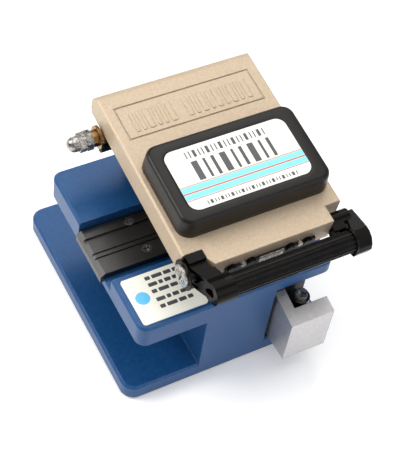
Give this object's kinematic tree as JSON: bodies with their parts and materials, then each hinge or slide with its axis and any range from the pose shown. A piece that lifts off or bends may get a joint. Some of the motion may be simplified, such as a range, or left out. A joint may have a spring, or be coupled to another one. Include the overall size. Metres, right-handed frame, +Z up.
{
  "type": "optical fibre cleaver",
  "caption": "Bench cleaver for optical fibre: blue C-shaped frame, fibre guide, hinged lid with clamps and padded top, latch handle, and a slider carrying a round blade.",
  "frame": {"origin": "middle of the overall width and depth at the level of the rubber feet, lid and slider as drawn", "axes": "+Z up, -Y the front (handle and slider side), +X right, along the lid hinge"},
  "size_m": [0.0622, 0.0734, 0.0597],
  "materials": {
    "frame_blue": "satin blue anodised look",
    "foot_rubber": "matt",
    "guide_black": "matt black",
    "bright_steel": "bright",
    "dark_steel": "dark",
    "label_white": "printed film",
    "label_blue": "printed film",
    "clamp_rubber": "matt",
    "bracket_black": "satin black",
    "brass_ring": "turned",
    "nut_chrome": "polished",
    "spring_steel": "wire",
    "end_cap_green": "moulded",
    "bracket_grey": "dark anodised look",
    "block_metal": "bare, fine blasted",
    "sleeve_chrome": "dark chrome",
    "blade_metal": "ground carbide look",
    "lid_champagne": "champagne metallic grain",
    "pad_black": "soft satin black",
    "handle_black": "moulded black"
  },
  "bodies": {
    "frame": {"base_frame": "frame_blue", "rubber_feet": "foot_rubber", "fibre_guide_plate": "guide_black", "guide_screws": "dark_steel", "platform_label": "label_white", "label_disc": "label_blue", "lower_clamp_left": "bright_steel", "lower_clamp_right": "bright_steel", "lower_rubber_left": "clamp_rubber", "lower_rubber_right": "clamp_rubber", "catch_post": "bright_steel", "hinge_bracket": "bracket_black", "bracket_screws": "dark_steel", "hinge_shaft": "bright_steel", "hinge_brass_washer": "brass_ring", "hinge_spacer": "brass_ring", "hinge_hex_nut": "nut_chrome", "hinge_cap_nut": "nut_chrome", "shaft_collar": "bracket_black", "anchor_pin": "bracket_black", "lid_spring": "spring_steel", "slide_rail": "bright_steel", "rail_screws": "dark_steel"},
    "lid": {"lid": "lid_champagne", "hinge_bushes": "brass_ring", "lid_pad": "pad_black", "pad_label": "label_white", "clamp_frame": "bracket_black", "clamp_frame_screws": "bright_steel", "plunger_springs": "spring_steel", "latch_bar": "bracket_black", "latch_magnet": "nut_chrome", "latch_knobs": "handle_black", "latch_screws": "nut_chrome", "pivot_screw": "nut_chrome", "pivot_pin": "bright_steel"},
    "handle": {"handle_arm_left": "handle_black", "handle_arm_right": "handle_black", "handle_grip": "handle_black", "handle_rod": "dark_steel"},
    "clamp_left": {"upper_clamp_left": "bracket_grey", "upper_rubber_left": "clamp_rubber"},
    "clamp_right": {"upper_clamp_right": "bracket_grey", "upper_rubber_right": "clamp_rubber"},
    "anvil": {"anvil": "bright_steel"},
    "slider": {"slide_carriage": "bright_steel", "carriage_end_caps": "end_cap_green", "blade_bracket": "bracket_grey", "blade_axle": "bright_steel", "slider_block": "block_metal", "block_screws": "dark_steel", "adjuster_sleeve": "sleeve_chrome", "adjuster_screw": "nut_chrome", "bracket_screw": "dark_steel"},
    "blade": {"blade_wheel": "blade_metal"}
  },
  "joints": [
    {"name": "lid_hinge", "type": "hinge", "parent": "frame", "child": "lid", "pos_m": [0, 0.0227, 0.0463], "axis": [-1, 0, 0], "range_deg": [-3, 80]},
    {"name": "handle_pivot", "type": "hinge", "parent": "lid", "child": "handle", "pos_m": [0, -0.02509, 0.0463], "axis": [1, 0, 0], "range_deg": [0, 25]},
    {"name": "clamp_left_slide", "type": "slide", "parent": "lid", "child": "clamp_left", "axis": [0, 0.0523, 0.9986], "range_m": [0, 0.001], "stiffness_N_per_m": 300, "springref_m": -0.001},
    {"name": "clamp_right_slide", "type": "slide", "parent": "lid", "child": "clamp_right", "axis": [0, 0.0523, 0.9986], "range_m": [0, 0.001], "stiffness_N_per_m": 300, "springref_m": -0.001},
    {"name": "anvil_slide", "type": "slide", "parent": "lid", "child": "anvil", "axis": [0, 0.0523, 0.9986], "range_m": [0, 0.001], "stiffness_N_per_m": 200, "springref_m": -0.001},
    {"name": "slider_travel", "type": "slide", "parent": "frame", "child": "slider", "axis": [0, 1, 0], "range_m": [0, 0.028]},
    {"name": "blade_index", "type": "hinge", "parent": "slider", "child": "blade", "pos_m": [0.01735, -0.0163, 0.0223], "axis": [1, 0, 0], "continuous": true}
  ]
}
